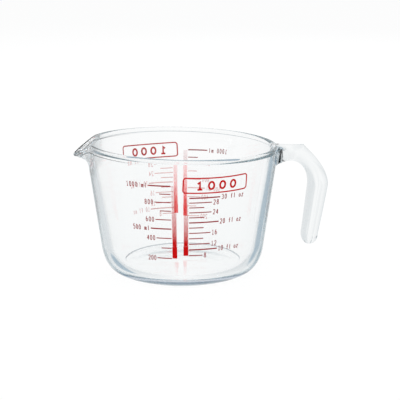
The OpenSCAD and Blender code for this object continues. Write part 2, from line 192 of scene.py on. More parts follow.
def bend3(p, q, r, s, t):
    """The point a share t along a bend from p to s that leans to q and then to r."""
    return mix(bend2(p, q, r, t), bend2(q, r, s, t), t)


def bump(u, fullness, power):
    """A smooth hump over u from -1 to 1."""
    inside = work("MINIMUM", work("ABSOLUTE", u), 1)
    return (1 - inside ** fullness) ** power


def new_tree(name, sizes):
    """A geometry tree with one named input for each size. Returns the tree and the sizes as fields."""
    tree = bpy.data.node_groups.new(name, "GeometryNodeTree")
    for size in sizes:
        tree.interface.new_socket(size, in_out="INPUT", socket_type="NodeSocketFloat")
    tree.interface.new_socket("Geometry", in_out="OUTPUT", socket_type="NodeSocketGeometry")
    group_in = tree.nodes.new("NodeGroupInput")
    return tree, {size: Field(group_in.outputs[size]) for size in sizes}


def add(tree, kind, inputs=(), **settings):
    """A node of a kind, with its settings and with its inputs linked or set by name."""
    node = tree.nodes.new(kind)
    for key, value in settings.items():
        setattr(node, key, value)
    for key, value in dict(inputs).items():
        if isinstance(value, Field):
            value = value.socket
        if isinstance(value, bpy.types.NodeSocket):
            tree.links.new(value, node.inputs[key])
        else:
            node.inputs[key].default_value = value
    return node


def value_field(tree, value):
    """A plain number as a field of a tree."""
    node = add(tree, "ShaderNodeValue")
    node.outputs[0].default_value = value
    return Field(node.outputs[0])


def colour_ramp(tree, share, tones):
    """The colours of a list of positions and tones, at a share from 0 to 1."""
    ramp = add(tree, "ShaderNodeValToRGB", {"Fac": share})
    stops = ramp.color_ramp.elements
    stops[0].position, stops[0].color = tones[0]
    stops[1].position, stops[1].color = tones[-1]
    for position, colour in tones[1:-1]:
        stops.new(position).color = colour
    return ramp.outputs["Color"]


def tinted(tree, share, colour, tint, blend_type="MIX"):
    """A colour that gives way to a tint, or is multiplied by it, by a share."""
    node = add(
        tree, "ShaderNodeMix", {"Factor": share, "A": colour, "B": tint},
        data_type="RGBA", blend_type=blend_type,
    )
    return node.outputs["Result"]


def new_material(name):
    """A material, with its tree and its main shader."""
    material = bpy.data.materials.new(name)
    material.use_nodes = True
    return material, material.node_tree, material.node_tree.nodes["Principled BSDF"]


def new_object(name, data):
    """An object that is in the scene."""
    made = bpy.data.objects.new(name, data)
    bpy.context.scene.collection.objects.link(made)
    return made


def grid_shares(tree):
    """The two shares, from 0 to 1, that a point's place on a strip's flat grid gives."""
    place = add(tree, "GeometryNodeInputPosition")
    split = add(tree, "ShaderNodeSeparateXYZ", {0: place.outputs[0]})
    return Field(split.outputs["X"]) + 1 / 2, Field(split.outputs["Y"]) + 1 / 2


def strip(tree, round_n, along_n, point):
    """A grid of facets put in place by a formula for its points."""
    grid = add(tree, "GeometryNodeMeshGrid", {
        "Size X": 1.0, "Size Y": 1.0, "Vertices X": round_n + 1, "Vertices Y": along_n + 1,
    })
    place = add(tree, "ShaderNodeCombineXYZ", dict(enumerate(point)))
    return add(tree, "GeometryNodeSetPosition", {
        "Geometry": grid.outputs["Mesh"], "Position": place.outputs[0],
    }).outputs[0]


def joined(tree, parts):
    """Strips joined into one closed skin."""
    join = add(tree, "GeometryNodeJoinGeometry")
    for part in parts:
        tree.links.new(part, join.inputs[0])
    return add(tree, "GeometryNodeMergeByDistance", {
        "Geometry": join.outputs[0], "Distance": MERGE_MM * MM,
    }).outputs[0]


def finish_tree(tree, geometry, material):
    """The last nodes of every tree."""
    whole = add(tree, "GeometryNodeRealizeInstances", {"Geometry": geometry})
    dressed = add(tree, "GeometryNodeSetMaterial", {"Geometry": whole.outputs[0], "Material": material})
    add(tree, "NodeGroupOutput", {"Geometry": dressed.outputs[0]})


def made_piece(name, tree, sizes):
    """A plain mesh object made by a tree at the sizes given."""
    maker = new_object(name + "_maker", bpy.data.meshes.new(name + "_maker"))
    modifier = maker.modifiers.new("shape", "NODES")
    modifier.node_group = tree
    for socket in tree.interface.items_tree:
        if socket.in_out == "INPUT":
            modifier[socket.identifier] = float(sizes[socket.name])
    depsgraph = bpy.context.evaluated_depsgraph_get()
    mesh = bpy.data.meshes.new_from_object(maker.evaluated_get(depsgraph))
    bpy.data.objects.remove(maker)
    mesh.name = name
    return new_object(name, mesh)


class Wall:
    """The straight wall of the bowl, outside and inside, as functions of the height."""

    def __init__(self, s):
        self.s = s
        self.slope = (s["rim_r"] - s["wall_foot_r"]) / (s["rim_h"] - s["wall_foot_h"])
        self.lean = work("ARCTANGENT", self.slope)

    def r(self, z):
        return self.s["wall_foot_r"] + self.slope * (z - self.s["wall_foot_h"])

    def outer(self, z):
        return self.r(z), z

    def inner_r(self, z):
        s = self.s
        share = (z - s["wall_foot_h"]) / (s["rim_h"] - s["wall_foot_h"])
        return self.r(z) - mix(s["wall_foot_t"], s["wall_t"], share)

    def inner(self, z):
        return self.inner_r(z), z


class Rim:
    """The rim and the spout's lip, at an angle from the spout's middle."""

    def __init__(self, s, wall, a):
        self.from_spout = work("WRAP", a, math.pi, -math.pi)
        share = self.from_spout / spout_spread(s)
        self.spout = bump(share, SPOUT_FULLNESS, SPOUT_POWER)
        dip = bump(share, DIP_FULLNESS, DIP_POWER)
        self.plain_h = s["rim_h"] + s["rim_rise"] * cosine(a)
        self.lip_h = self.plain_h - s["spout_drop"] * dip
        lip_r = mix(wall.r(self.plain_h) - s["lip_t"] / 2, s["rim_r"] + s["spout_reach"], self.spout)
        self.lip_a = mix(math.pi / 2 - wall.lean, SPOUT_LIP_A, self.spout)
        self.lip_half = mix(s["lip_t"], s["spout_lip_t"], self.spout) / 2
        self.lip_mid = shift((lip_r, self.lip_h), toward(self.lip_a), -1 * self.lip_half)

    def lip(self, turn):
        """A point of the lip's round edge, at a turn from its tip."""
        return shift(self.lip_mid, toward(self.lip_a + turn), self.lip_half)


def spout_spread(s):
    """The angle from the spout's middle to its end on the rim."""
    return work("ARCSINE", s["spout_w"] / 2 / s["rim_r"]) * DIP_SPREAD


def bowl(tree, s, wall, u, t):
    """The bowl with its spout, as strips from the hollow under its base to the middle of its floor."""
    spread_a = spout_spread(s)
    spout_u = SPOUT_N / (SPOUT_N + ROUND_N)
    in_spout = work("MINIMUM", u / spout_u, 1)
    past_spout = work("MAXIMUM", (u - spout_u) / (1 - spout_u), 0)
    a = spread_a * (2 * in_spout - 1) + (math.tau - 2 * spread_a) * past_spout

    rim = Rim(s, wall, a)
    spout = rim.spout
    lip_out, lip_in = rim.lip(-math.pi / 2), rim.lip(math.pi / 2)
    crease_h = work("MINIMUM", rim.plain_h - s["crease_drop"], lip_in[1] + s["spout_rise"] * spout)
    crease = wall.inner(crease_h)
    bead_foot = shift(crease, (spout - 1, 1), BEAD_STEP_MM * MM)
    root_h = s["rim_h"] - s["spout_root"]

    def swell(start, tip, above, share):
        """The outside from the wall's straight part to the lip."""
        rise = shift(above, start, -1)
        length = work("SQRT", (tip[0] - start[0]) ** 2 + (tip[1] - start[1]) ** 2)
        shelf = mix(length * PLAIN_BEND, s["spout_shelf"], spout)
        return bend3(
            start,
            shift(start, rise, mix(PLAIN_BEND, SPOUT_BEND, spout)),
            shift(tip, toward(rim.lip_a), -1 * shelf),
            tip,
            share,
        )

    corner_top_h = s["floor_h"] + s["floor_corner_h"]
    foot_out = s["base_r"], s["foot_h"]
    stand_in = s["base_r"] - s["base_ring_w"], 0
    stand_out = s["base_r"], 0
    floor_edge = wall.inner_r(s["floor_h"]) - s["floor_corner_w"], s["floor_h"]
    floor_low = shift(floor_edge, (FLOOR_STEP_MM / 2 * MM, FLOOR_STEP_MM * MM), -1)
    # Each stretch of the profile: its count of facets, and its points
    sections = [
        (14, (stand_in[0] * t, s["base_hollow"] * (1 - t * t))),
        (5, mix(stand_in, stand_out, t)),
        (2, mix(stand_out, foot_out, t)),
        (22, bend2(foot_out, wall.outer(s["corner_pull_h"]), wall.outer(s["wall_foot_h"]), t)),
        (14, mix(wall.outer(s["wall_foot_h"]), wall.outer(root_h), t)),
        (20, swell(wall.outer(root_h), lip_out, wall.outer(lip_out[1]), t)),
        (14, rim.lip(math.pi * t - math.pi / 2)),
        (10, mix(lip_in, bead_foot, t)),
        (2, mix(bead_foot, crease, t)),
        (24, mix(crease, wall.inner(corner_top_h), t)),
        (22, bend2(wall.inner(corner_top_h), wall.inner(s["floor_h"]), floor_edge, t)),
        (2, mix(floor_edge, floor_low, t)),
        (12, mix(floor_low, (0, floor_low[1]), t)),
    ]
    strips = []
    for along_n, (r, z) in sections:
        r, z = r * DRAWN_IN, z * DRAWN_IN
        point = (-1 * r * cosine(a), -1 * r * sine(a), z)
        strips.append(strip(tree, SPOUT_N + ROUND_N, along_n, point))
    return joined(tree, strips)


def handle(tree, s, wall, u, t):
    """The hook handle, from its end in the wall to its round tip."""
    thumb_h = s["rim_h"] - s["rim_rise"] - s["thumb_drop"]
    under_h = thumb_h - s["arm_t"]
    root_r = wall.r(thumb_h) - s["arm_root_swell"] - ARM_START_MM * MM
    turn = wall.r(under_h) + s["arm_run"], under_h
    thumb = s["rim_r"] + s["thumb_run"], thumb_h
    front_r = wall.r(s["grip_bulge_h"]) + s["finger_gap"]
    bulge_front = front_r, s["grip_bulge_h"]
    bulge_back = front_r + s["grip_t"], s["grip_bulge_h"]
    cap_h = s["grip_end_h"] + s["grip_cap"]
    end_back = bulge_back[0] - s["grip_lean"], cap_h
    end_front = end_back[0] - s["grip_end_t"], cap_h
    back_pull = (thumb_h - s["grip_bulge_h"]) * BULGE_PULL
    front_pull = (under_h - s["grip_bulge_h"]) * ARM_PULL
    angle = math.tau * u

    def squared(v):
        """The side of a soft square in place of a circle's."""
        return work("SIGN", v) * work("ABSOLUTE", v) ** (2 / SECTION_POWER)

    across = squared(cosine(angle))

    def ring(back, front, width, flute=0):
        """A cross-section between two lines of the bend."""
        middle, reach = mix(back, front, 1 / 2), shift(back, front, -1)
        r, z = shift(middle, reach, across / 2)
        half = width / 2 - flute * cosine(across * FLUTES * math.pi)
        return r, -1 * half * squared(sine(angle)), z

    def arm(share, flare=0):
        """A cross-section of the arm, which swells and hugs the round wall at its root."""
        left = 1 - share
        swell = s["arm_root_swell"] * left ** 2 * (turn[0] - root_r) / s["arm_run"]
        back = mix((root_r, thumb_h + s["thumb_drop"] / 2), thumb, share)
        front = mix((root_r, under_h), turn, share)
        middle_w = mix(s["arm_root_w"], s["grip_w"], ARM_MID_W)
        width = bend2(s["arm_root_w"], middle_w, s["grip_w"], share)
        r, y, z = ring(back, (front[0], front[1] - swell), width + flare)
        seat_r = wall.r(z) - ROOT_DEPTH_MM * MM
        seat_x = work("SQRT", seat_r ** 2 - y ** 2)
        return r + (seat_x - root_r) * left ** 2, y, z

    def grip_line(top, end):
        """A line down the grip, with its belly."""
        belly = mix(top[0], end[0], BELLY_WIDTH), mix(top[1], end[1], BELLY_HEIGHT)
        return bend2(top, belly, end, t)

    fillet = ROOT_FILLET_MM * MM
    quarter_a = math.pi / 2 * t
    wall_share = ROOT_DEPTH_MM * MM / (turn[0] - root_r)
    round_share = fillet / (turn[0] - root_r)
    root = arm(0, 2 * fillet)
    root_h = (thumb_h + under_h) / 2
    root_pole = wall.r(root_h) - ROOT_DEPTH_MM * MM, 0, root_h
    bend_back = bend3(
        thumb, (thumb[0] + back_pull / 2, thumb_h - back_pull / 2),
        (bulge_back[0], bulge_back[1] + back_pull), bulge_back, t,
    )
    bend_front = bend3(
        turn, (mix(turn[0], front_r, ARM_PULL), under_h),
        (front_r, bulge_front[1] + front_pull), bulge_front, t,
    )
    flute = FLUTE_MM * MM
    end_mid = mix(end_back, end_front, 1 / 2)
    cap_drop = 0, s["grip_cap"] * sine(quarter_a)
    # Each stretch from the root to the tip: its count of facets, and its points
    sections = [
        (3, mix(root_pole, root, t)),
        (2, arm(wall_share * t, 2 * fillet)),
        (12, arm(wall_share + round_share * (1 - cosine(quarter_a)), 2 * fillet * (1 - sine(quarter_a)))),
        (26, arm(mix(wall_share + round_share, 1, t))),
        (34, ring(bend_back, bend_front, s["grip_w"], flute * t * t)),
        (26, ring(
            grip_line(bulge_back, end_back), grip_line(bulge_front, end_front),
            mix(s["grip_w"], s["grip_end_w"], t), flute,
        )),
        (14, ring(
            shift(mix(end_mid, end_back, cosine(quarter_a)), cap_drop, -1),
            shift(mix(end_mid, end_front, cosine(quarter_a)), cap_drop, -1),
            s["grip_end_w"] * cosine(quarter_a), flute * cosine(quarter_a),
        )),
    ]
    return joined(tree, [strip(tree, HANDLE_N, along_n, point) for along_n, point in sections])


def glass_piece(material):
    """The bowl and the handle as the one piece of glass that they are pressed in."""
    sizes = {**BOWL_MM, **HANDLE_MM}
    tree, s = new_tree("pressed glass", sizes)
    wall = Wall(s)
    u, t = grid_shares(tree)
    union = add(tree, "GeometryNodeMeshBoolean", operation="UNION", solver="EXACT")
    for part in (bowl(tree, s, wall, u, t), handle(tree, s, wall, u, t)):
        tree.links.new(part, union.inputs["Mesh 2"])
    smooth = add(tree, "GeometryNodeSetShadeSmooth", {"Geometry": union.outputs["Mesh"]})
    angle = Field(add(tree, "GeometryNodeInputMeshEdgeAngle").outputs["Unsigned Angle"])
    crisp = work("GREATER_THAN", angle, CREASE_A)
    creased = add(tree, "GeometryNodeSetShadeSmooth", {
        "Geometry": smooth.outputs[0], "Selection": crisp, "Shade Smooth": False,
    }, domain="EDGE")
    finish_tree(tree, creased.outputs[0], material)
    metres = {name: value * MM for name, value in sizes.items()}
    return made_piece("glass", tree, metres)


# The skin's faint waves: how they are drawn out upward, how many lie on a metre, and their relief
WAVE_STRETCH = (1, 1, 0.3)
WAVES, WAVE_DETAIL = 60.0, 1.0
WAVE_STRENGTH, WAVE_MM = 0.2, 0.15
# The glass's skin colours from face on to edge on, greying edge on: painted shade on its edges
EDGE_SHADE_TONES = (
    (0.74, (0.99, 0.995, 0.995, 1)),
    (0.95, (0.50, 0.54, 0.57, 1)),
)
# How strongly it bends light, and the colour and density of its depth
GLASS_IOR = 1.48
DEPTH_GREY, DEPTH_DENSITY = (0.85, 0.88, 0.89, 1), 18.0
# The part of the lamps' light that the glass keeps back
LAMP_SHADOW = 0.05
# The painted shade on the foot's thick corner, a cool blue band, with the heights of its band and how it
# fades
CORNER_SHADE_BLUE = (0.36, 0.42, 0.52, 1)
CORNER_FOOT_MM, CORNER_TOP_MM, CORNER_FADE_MM = 2.5, 8.6, 1.5
# The painted shade lines on the steps: their colour, and the share of the floor's step that has one
STEP_SHADE_GREY = (0.36, 0.40, 0.43, 1)
STEP_LINE_SHARE = 0.9
# The colour of the dark lines, which are painted shade
SHADE_LINE_GREY = (0.07, 0.075, 0.08, 1)
# The painted shade lines at the lip's two edges: their width and strength
LIP_LINE_MM, LIP_LINE = 0.9, 0.95
# The painted shade line on the fold below the lip: its width and strength
FOLD_LINE_MM, FOLD_LINE = 0.7, 0.85
# The fold's drop below the lip, on the plain rim and in the spout, and its depth in the wall
FOLD_DROPS_MM, FOLD_DEPTH_MM = (5.2, 3.2), 1
# The angle from the spout's middle at which its lines end, and over which they fade
LINE_END_A, LINE_FADE_A = math.radians(70), math.radians(45)
# The painted shade lines at the handle's root: their width and strength, and their places off the wall and
# off the middle
ROOT_LINE_MM, ROOT_LINE = 1.5, 0.9
ROOT_OFF_MM, ROOT_SIDE_MM = 2.55, 11
# Where the spout's thin glass starts, forward and upward, how it fades in, and the light it leaves unbent
SPOUT_START_MM, SPOUT_FOOT_MM = 67, 82
SPOUT_START_FADE_MM, SPOUT_FOOT_FADE_MM = 4, 8
UNBENT_SHARE = 0.45


class GlassSpot:
    """A spot on the glass: its place, and its radius and height before the bowl was drawn in."""

    def __init__(self, tree, place):
        split = add(tree, "ShaderNodeSeparateXYZ", {0: place})
        self.x, self.y, self.z = (Field(socket) for socket in split.outputs)
        self.r = work("SQRT", self.x * self.x + self.y * self.y)
        self.profile_r, self.profile_h = self.r / DRAWN_IN, self.z / DRAWN_IN


def step_shade_lines(spot, sizes, wall):
    """1 on the steps round the inside floor and under the rim's bead, where a line of painted shade marks
    each step.
    """
    step_r = wall.inner_r(sizes["floor_h"]) - sizes["floor_corner_w"] - FLOOR_STEP_MM / 4 * MM
    step_h = sizes["floor_h"] - FLOOR_STEP_MM / 2 * MM
    on_step = near(spot.profile_r, step_r, FLOOR_STEP_MM * MM) \
        * near(spot.profile_h, step_h, STEP_LINE_SHARE / 2 * FLOOR_STEP_MM * MM)
    rim_h = sizes["rim_h"] - sizes["rim_rise"] * spot.x / spot.r
    bead_h = rim_h - sizes["crease_drop"] + BEAD_STEP_MM / 2 * MM
    on_bead = near(spot.profile_h, bead_h, BEAD_STEP_MM / 2 * MM) \
        * work("LESS_THAN", spot.r, sizes["rim_r"] - sizes["lip_t"] / 2)
    return largest(on_step, on_bead)


def painted_shade_lines(spot, sizes, wall):
    """The strength of the dark lines of painted shade: the lip's two edges, the fold below it and the
    handle's root.
    """
    rim = Rim(sizes, wall, work("ARCTAN2", -1 * spot.y, -1 * spot.x))
    line_end = clamped((LINE_END_A - work("ABSOLUTE", rim.from_spout)) / LINE_FADE_A)
    lines = []
    for turn, strength in ((-math.pi / 2, rim.spout), (math.pi / 2 * rim.spout, line_end)):
        edge_r, edge_h = rim.lip(turn)
        away = work("SQRT", (spot.profile_r - edge_r) ** 2 + (spot.profile_h - edge_h) ** 2)
        lines.append(work("LESS_THAN", away, LIP_LINE_MM / 2 * MM) * strength * LIP_LINE)
    off_wall = spot.profile_r - wall.r(spot.profile_h)
    fold_h = rim.lip_h - mix(*FOLD_DROPS_MM, rim.spout) * MM
    on_fold = near(spot.profile_h, fold_h, FOLD_LINE_MM / 2 * MM) \
        * work("GREATER_THAN", off_wall, -FOLD_DEPTH_MM * MM)
    lines.append(on_fold * line_end * (1 - rim.spout) * FOLD_LINE)
    on_root = near(off_wall, ROOT_OFF_MM * MM, ROOT_LINE_MM / 2 * MM)
    at_side = work("GREATER_THAN", work("ABSOLUTE", spot.y), ROOT_SIDE_MM * MM)
    lines.append(on_root * at_side * work("GREATER_THAN", spot.x, 0) * ROOT_LINE)
    return largest(*lines)


def foot_shade_band(spot):
    """1 on the painted shade band round the foot's thick corner, with both its edges faded."""
    below = fade_in(-1 * spot.z, -CORNER_TOP_MM, CORNER_FADE_MM)
    above = fade_in(spot.z, CORNER_FOOT_MM, CORNER_FADE_MM)
    return below * above * work("GREATER_THAN", spot.r, BOWL_MM["base_r"] * MM)


def thin_spout(spot):
    """1 on the spout's thin glass, with its edges faded."""
    forward = fade_in(-1 * spot.x, SPOUT_START_MM, SPOUT_START_FADE_MM)
    return forward * fade_in(spot.z, SPOUT_FOOT_MM, SPOUT_FOOT_FADE_MM)


def clear_glass():
    """Fire-polished pressed glass: faint waves in its skin, fine lines and edges of painted shade, and a
    cool grey in its depth.
    """
    material, tree, shader = new_material("clear_glass")
    shader.inputs["Base Color"].default_value = WHITE
    shader.inputs["Transmission Weight"].default_value = 1
    shader.inputs["Roughness"].default_value = 0
    shader.inputs["IOR"].default_value = GLASS_IOR
    place = add(tree, "ShaderNodeTexCoord").outputs["Object"]
    stretch = add(tree, "ShaderNodeMapping", {"Vector": place, "Scale": WAVE_STRETCH})
    waves = add(tree, "ShaderNodeTexNoise", {
        "Vector": stretch.outputs[0], "Scale": WAVES, "Detail": WAVE_DETAIL,
    })
    relief = add(tree, "ShaderNodeBump", {
        "Height": waves.outputs["Fac"], "Strength": WAVE_STRENGTH, "Distance": WAVE_MM * MM,
    })
    tree.links.new(relief.outputs["Normal"], shader.inputs["Normal"])

    # The skin greys where it is seen edge on, as painted shade, and its outside has the painted shade lines
    # and the foot's painted shade band
    spot = GlassSpot(tree, place)
    sizes = {name: value_field(tree, size * MM) for name, size in BOWL_MM.items()}
    wall = Wall(sizes)
    dark = painted_shade_lines(spot, sizes, wall)
    outside = 1 - Field(add(tree, "ShaderNodeNewGeometry").outputs["Backfacing"])
    edge = add(tree, "ShaderNodeLayerWeight")
    colour = colour_ramp(tree, edge.outputs["Facing"], EDGE_SHADE_TONES)
    colour = tinted(tree, step_shade_lines(spot, sizes, wall) * outside, colour, STEP_SHADE_GREY)
    colour = tinted(tree, dark * outside, colour, SHADE_LINE_GREY)
    colour = tinted(tree, foot_shade_band(spot) * outside, colour, CORNER_SHADE_BLUE, "MULTIPLY")
    tree.links.new(colour, shader.inputs["Base Color"])

    # Lamps shine through to the enamel and the floor, and the spout's thin glass bends only some light
    path = add(tree, "ShaderNodeLightPath")
    lit = largest(Field(path.outputs["Is Shadow Ray"]), Field(path.outputs["Is Diffuse Ray"]))
    through = add(tree, "ShaderNodeBsdfTransparent", {"Color": (1 - LAMP_SHADOW * lit) * (1 - dark)})
    unbent = largest(lit, dark, thin_spout(spot) * UNBENT_SHARE)
    either = add(tree, "ShaderNodeMixShader", {0: unbent, 1: shader.outputs[0], 2: through.outputs[0]})
    depth = add(tree, "ShaderNodeVolumeAbsorption", {"Color": DEPTH_GREY, "Density": DEPTH_DENSITY})
    output = tree.nodes["Material Output"]
    tree.links.new(either.outputs[0], output.inputs["Surface"])
    tree.links.new(depth.outputs[0], output.inputs["Volume"])
    return material


# The enamels' tones along their grain: bright red, and the deep red of the fine print
BRIGHT_TONES = (
    (0.3, (0.42, 0.001, 0.001, 1)),
    (0.7, (0.53, 0.002, 0.002, 1)),
)
DEEP_TONES = (
    (0.3, (0.24, 0.010, 0.012, 1)),
    (0.7, (0.30, 0.014, 0.016, 1)),
)
# Lighter reds, which are painted light, for the print on the far wall, where it is seen through the near
# wall too
BRIGHT_LIT_AFAR = (0.86, 0.05, 0.05, 1)
DEEP_LIT_AFAR = (0.72, 0.41, 0.40, 1)
# The enamel's grain on a metre, its detail, and its relief
GRAIN, GRAIN_DETAIL = 900.0, 3.0
GRAIN_STRENGTH, GRAIN_MM = 0.2, 0.03
# The enamel's shine, and its roughness from its glossiest to its dullest
ENAMEL_SHINE = 0.05
LEAST_ROUGH, MOST_ROUGH = 0.25, 0.45

# A wall has two faces that light goes through
WALL_FACES = 2


def past_near_wall(path):
    """1 for light that goes through more than the near wall, and 0 for the rest."""
    return work("GREATER_THAN", Field(path.outputs["Transmission Depth"]), WALL_FACES)


def fired_enamel(name, tones, lit_red_afar):
    """Red glass enamel, a little uneven in its colour and gloss, and painted lighter where it is seen
    through the near wall.
    """
    material, tree, shader = new_material(name)
    shader.inputs["Specular IOR Level"].default_value = ENAMEL_SHINE
    place = add(tree, "ShaderNodeTexCoord")
    grain = add(tree, "ShaderNodeTexNoise", {
        "Vector": place.outputs["Object"], "Scale": GRAIN, "Detail": GRAIN_DETAIL,
    }).outputs["Fac"]
    # Painted light: the print seen through the near wall takes the lighter reds
    far = past_near_wall(add(tree, "ShaderNodeLightPath"))
    red = tinted(tree, far, colour_ramp(tree, grain, tones), lit_red_afar)
    gloss = add(tree, "ShaderNodeMapRange", {
        "Value": grain, "To Min": LEAST_ROUGH, "To Max": MOST_ROUGH,
    })
    relief = add(tree, "ShaderNodeBump", {
        "Height": grain, "Strength": GRAIN_STRENGTH, "Distance": GRAIN_MM * MM,
    })
    tree.links.new(red, shader.inputs["Base Color"])
    tree.links.new(gloss.outputs["Result"], shader.inputs["Roughness"])
    tree.links.new(relief.outputs["Normal"], shader.inputs["Normal"])
    return material


# Corners of a column that differ less than this in height are level
LEVEL_MM = 0.1


def column_sizes(node):
    """The place of a colour column on the wall, from its solid."""
    points = [v.co for v in node.data.vertices]
    lowest, highest = min(p.z for p in points), max(p.z for p in points)
    middle = sum((p for p in points), Vector()) / len(points)
    middle_a = math.atan2(middle.y, middle.x)
    turns = [math.remainder(math.atan2(p.y, p.x) - middle_a, math.tau) for p in points]

    def radii(height):
        """The radii of the column's corners at a height."""
        return [math.hypot(p.x, p.y) for p in points if abs(p.z - height) < LEVEL_MM * MM]

    return {
        "lowest": lowest, "highest": highest,
        "first_a": middle_a + min(turns), "last_a": middle_a + max(turns),
        "lowest_r": min(radii(lowest)), "highest_r": min(radii(highest)),
        "ink_t": max(radii(highest)) - min(radii(highest)),
    }


# The halftone: dots across a column, the share of its height that is solid, and the dots' least size
DOTS_ACROSS = 4
SOLID_SHARE = 0.16
LEAST_DOT = 0.34
# Facets across the solid part, which follow the wall, and the corners of a dot
SOLID_N, DOT_N = 5, 4


def halftone_tree(material):
    """A colour column: solid at its foot, then a halftone of diamonds that shrink towards its top."""
    names = ("lowest", "highest", "first_a", "last_a", "lowest_r", "highest_r", "ink_t")
    tree, s = new_tree("halftone column", names)
    middle_r = (s["lowest_r"] + s["highest_r"]) / 2
    width = (s["last_a"] - s["first_a"]) * middle_r
    height = s["highest"] - s["lowest"]
    solid_h = height * SOLID_SHARE
    pitch = width / DOTS_ACROSS

    block_size = add(tree, "ShaderNodeCombineXYZ", {0: width, 1: solid_h, 2: s["ink_t"]})
    block = add(tree, "GeometryNodeMeshCube", {
        "Size": block_size.outputs[0], "Vertices X": SOLID_N + 1, "Vertices Y": 2, "Vertices Z": 2,
    })
    block_lift = add(tree, "ShaderNodeCombineXYZ", {0: 0.0, 1: solid_h / 2, 2: s["ink_t"] / 2})
    solid = add(tree, "GeometryNodeTransform", {
        "Geometry": block.outputs["Mesh"], "Translation": block_lift.outputs[0],
    })

    rows = work("FLOOR", (height - solid_h) / (pitch / 2))
    points = add(tree, "GeometryNodePoints", {"Count": rows * DOTS_ACROSS})
    index = Field(add(tree, "GeometryNodeInputIndex").outputs[0])
    row = work("FLOOR", (index + 1 / 2) / DOTS_ACROSS)
    across = index - row * DOTS_ACROSS
    odd = work("MODULO", row, 2)
    up = (row + 1 / 2) / rows
    dot_x = (across + 1 / 2 - DOTS_ACROSS / 2) * pitch + odd * pitch / 2
    dot_y = solid_h + (row + 1 / 2) * (pitch / 2)
    dot_place = add(tree, "ShaderNodeCombineXYZ", {0: dot_x, 1: dot_y, 2: s["ink_t"] / 2})
    placed = add(tree, "GeometryNodeSetPosition", {
        "Geometry": points.outputs[0], "Position": dot_place.outputs[0],
    })
    # The last dot of an odd row would hang over the column's edge
    spare = work("GREATER_THAN", across + odd, DOTS_ACROSS - 1 / 2)
    kept = add(tree, "GeometryNodeDeleteGeometry", {
        "Geometry": placed.outputs[0], "Selection": spare,
    }, domain="POINT")
    diamond = add(tree, "GeometryNodeMeshCylinder", {
        "Vertices": DOT_N, "Radius": pitch / 2, "Depth": s["ink_t"],
    }, fill_type="NGON")
    dot_scale = mix(1, LEAST_DOT, up)
    scale = add(tree, "ShaderNodeCombineXYZ", {0: dot_scale, 1: dot_scale, 2: 1.0})
    dots = add(tree, "GeometryNodeInstanceOnPoints", {
        "Points": kept.outputs[0], "Instance": diamond.outputs["Mesh"], "Scale": scale.outputs[0],
    })
    real_dots = add(tree, "GeometryNodeRealizeInstances", {"Geometry": dots.outputs[0]})
    flat = add(tree, "GeometryNodeJoinGeometry")
    tree.links.new(solid.outputs[0], flat.inputs[0])
    tree.links.new(real_dots.outputs[0], flat.inputs[0])

    # The flat column is wrapped round the wall: its width becomes a turn and its depth a radius
    place = add(tree, "GeometryNodeInputPosition")
    split = add(tree, "ShaderNodeSeparateXYZ", {0: place.outputs[0]})
    x, y, depth = (Field(socket) for socket in split.outputs)
    turn = (s["first_a"] + s["last_a"]) / 2 + x / middle_r
    r = mix(s["lowest_r"], s["highest_r"], y / height) + depth
    wrapped = add(tree, "ShaderNodeCombineXYZ", {
        0: r * cosine(turn), 1: r * sine(turn), 2: s["lowest"] + y,
    })
    on_wall = add(tree, "GeometryNodeSetPosition", {
        "Geometry": flat.outputs[0], "Position": wrapped.outputs[0],
    })
    finish_tree(tree, on_wall.outputs[0], material)
    return tree


# The photograph's view, in pixels: its frame, where the bowl's middle lies in it, and its focal length
PHOTO_PX = 400
BOWL_PX = (182.5, 206.0)
FOCUS_PX = 1200
# The size of a pixel at the bowl's middle, and how far the camera looks down
PX_MM = 0.825
VIEW_RISE = math.radians(13.22)
# The camera's film, and how far it sees in metres
FILM_MM, SIGHT_M = 36, 50


def photo_camera():
    """The camera at the photograph's place."""
    middle = Vector((0, 0, BOWL_MM["rim_h"] / 2 * MM))
    back = Vector((0, -math.cos(VIEW_RISE), math.sin(VIEW_RISE)))
    up = Vector((0, math.sin(VIEW_RISE), math.cos(VIEW_RISE)))
    right = Vector((1, 0, 0))
    px = PX_MM * MM
    aim = middle + right * (PHOTO_PX / 2 - BOWL_PX[0]) * px - up * (PHOTO_PX / 2 - BOWL_PX[1]) * px
    data = bpy.data.cameras.new("photo_camera")
    data.sensor_width = FILM_MM
    data.lens = FILM_MM * FOCUS_PX / PHOTO_PX
    data.clip_end = SIGHT_M
    camera = new_object("photo_camera", data)
    camera.location = middle + back * FOCUS_PX * px
    camera.rotation_euler = (aim - camera.location).to_track_quat("-Z", "Y").to_euler()
    bpy.context.scene.camera = camera


# The studio on the left: white from below, a dim band above the horizon, and white overhead
STUDIO_TONES = (
    (0.495, WHITE),
    (0.51, (0.12, 0.17, 0.22, 1)),
    (0.54, (0.12, 0.17, 0.22, 1)),
    (0.60, WHITE),
)
# How far to the left the dim band starts, and the width of its start
BAND_START, BAND_FADE = 0.2, 0.15
# The studio's sides, a little dimmer than its middle
ROOM_TONES = (
    (0.05, WHITE),
    (0.50, (0.80, 0.82, 0.83, 1)),
)
# What light shows of the studio after it was thrown to and fro in the glass
SIDE_TONES = (
    (0.02, WHITE),
    (0.09, (0.34, 0.48, 0.59, 1)),
    (0.15, (0.30, 0.43, 0.54, 1)),
    (0.30, (0.86, 0.90, 0.92, 1)),
)
# The throws that reach the last of those tones, and the least that each counts, away from the sides
MOST_THROWN, LEAST_SIDE = 6, 0.3
# Two dark cards that show in light thrown back: their turn and rise
CARDS = (
    (math.radians(32), math.radians(-24)),
    (math.radians(-33), math.radians(-36)),
)
# The cosines of a card's dark core and of its edge, and how dark it is
CARD_CORE, CARD_EDGE = math.cos(math.radians(7)), math.cos(math.radians(12))
CARD_DEPTH = 0.45
